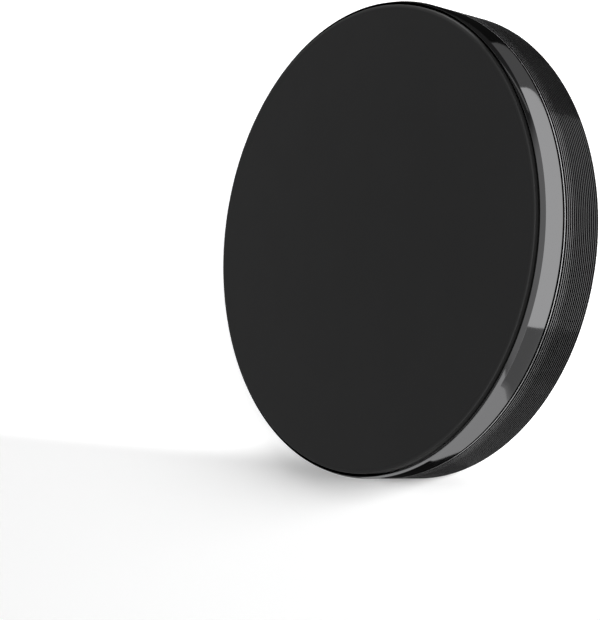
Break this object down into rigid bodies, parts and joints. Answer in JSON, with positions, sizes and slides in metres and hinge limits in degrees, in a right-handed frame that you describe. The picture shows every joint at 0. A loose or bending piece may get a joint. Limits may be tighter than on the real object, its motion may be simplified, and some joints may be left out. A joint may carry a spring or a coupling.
{
  "type": "magnetic car phone holder",
  "caption": "Flat round magnetic phone holder: a turned metal ring with fine rings and a polished band, a soft pad on its face, and a stick-on foam back.",
  "frame": {"origin": "centre of the foam's sticking face, the lowest face of the holder", "axes": "+Z along the puck's axis, from the dashboard towards the phone"},
  "size_m": [0.04, 0.04, 0.0072],
  "materials": {
    "housing_metal": "dark turned and polished, fine circumferential rings",
    "pad_rubber": "soft matt black, smooth",
    "adhesive_film": "thin double-sided film",
    "carrier_plastic": "moulded, satin",
    "magnet_plating": "nickel plating",
    "yoke_steel": "blanked sheet, rolled grain",
    "back_plastic": "moulded, fine spark texture",
    "foam_black": "closed-cell acrylic foam with a tacky face"
  },
  "bodies": {
    "root": {"housing": "housing_metal", "face_pad": "pad_rubber", "pad_adhesive": "adhesive_film", "magnet_carrier": "carrier_plastic", "yoke_plate": "yoke_steel", "back_plate": "back_plastic", "mounting_foam": "foam_black", "magnet_1": "magnet_plating", "magnet_2": "magnet_plating", "magnet_3": "magnet_plating", "magnet_4": "magnet_plating", "magnet_5": "magnet_plating", "magnet_6": "magnet_plating"}
  },
  "joints": []
}
